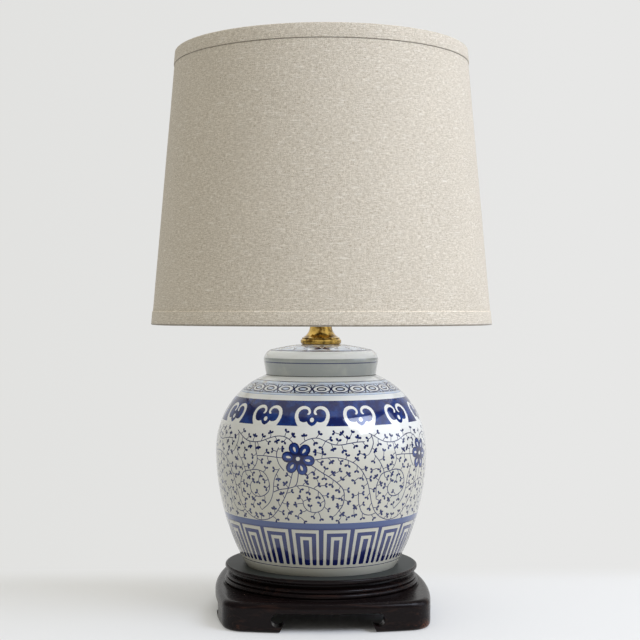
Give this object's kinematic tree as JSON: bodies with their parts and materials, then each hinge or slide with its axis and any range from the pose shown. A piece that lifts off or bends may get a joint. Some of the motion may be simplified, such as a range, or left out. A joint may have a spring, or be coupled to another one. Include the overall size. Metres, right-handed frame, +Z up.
{
  "type": "table lamp",
  "caption": "Ginger jar table lamp: lidded blue and white porcelain jar on a dark carved wooden stand, brass neck, wire harp and tapered linen drum shade.",
  "frame": {"origin": "middle of the stand's footprint, on the surface that its feet rest on", "axes": "+Z up along the rod; the front of the lamp and the switch knob face -Y; +X is to the right of someone who looks at the front"},
  "size_m": [0.3553, 0.3554, 0.5855],
  "materials": {
    "stand_wood": "dark satin lacquer",
    "porcelain": "clear glaze over cobalt painting",
    "rubber": "matte",
    "aged_brass": "aged, polished",
    "steel": "zinc plated",
    "black_plastic": "moulded",
    "harp_brass": "brass plated",
    "socket_brass": "bright lacquered",
    "fibre_card": "pressed card",
    "bulb_metal": "bright",
    "bulb_insulator": "opaque black glass",
    "bulb_glass": "frosted inside",
    "linen": "plain weave",
    "shade_liner": "white styrene sheet",
    "shade_wire": "brass plated"
  },
  "bodies": {
    "base": {"stand_plinth": "stand_wood", "stand_waist": "stand_wood", "stand_plate": "stand_wood", "jar_body": "porcelain", "jar_grommet": "rubber", "jar_lid": "porcelain", "lid_grommet": "rubber", "neck_ring": "aged_brass", "brass_neck": "aged_brass", "centre_rod": "steel", "flat_washer": "steel", "tooth_washer": "steel", "hex_nut": "steel", "cord_bush": "black_plastic", "harp_saddle": "harp_brass", "harp": "harp_brass", "harp_stud": "harp_brass", "socket_cap": "socket_brass", "cap_grub_screw": "steel", "cap_insulator": "fibre_card", "socket_shell": "socket_brass", "socket_liner": "fibre_card", "switch_body": "black_plastic", "terminal_screws": "socket_brass", "screw_shell": "bulb_metal", "centre_contact": "socket_brass", "bulb_tip": "bulb_metal", "bulb_insulator": "bulb_insulator", "bulb_base": "bulb_metal", "bulb_glass": "bulb_glass"},
    "shade": {"shade_linen": "linen", "shade_liner": "shade_liner", "shade_top_trim": "linen", "shade_bottom_trim": "linen", "shade_top_ring": "shade_wire", "shade_bottom_ring": "shade_wire", "spider_arms": "shade_wire", "spider_washer": "shade_wire"},
    "finial": {"finial_insert": "aged_brass", "finial_knob": "aged_brass"},
    "sleeve_left": {"harp_sleeve_left": "harp_brass"},
    "sleeve_right": {"harp_sleeve_right": "harp_brass"},
    "switch_key": {"switch_key_shaft": "socket_brass", "switch_knob": "black_plastic"}
  },
  "joints": [
    {"name": "shade_turn", "type": "hinge", "parent": "base", "child": "shade", "pos_m": [0, 0, 0.56293], "axis": [0, 0, 1], "continuous": true},
    {"name": "finial_turn", "type": "hinge", "parent": "base", "child": "finial", "pos_m": [0, 0, 0.56513], "axis": [0, 0, 1], "continuous": true},
    {"name": "sleeve_left_slide", "type": "slide", "parent": "base", "child": "sleeve_left", "axis": [0, 0, 1], "range_m": [0, 0.013]},
    {"name": "sleeve_right_slide", "type": "slide", "parent": "base", "child": "sleeve_right", "axis": [0, 0, 1], "range_m": [0, 0.013]},
    {"name": "switch_turn", "type": "hinge", "parent": "base", "child": "switch_key", "pos_m": [0, -0.0165, 0.33973], "axis": [0, -1, 0], "continuous": true}
  ]
}
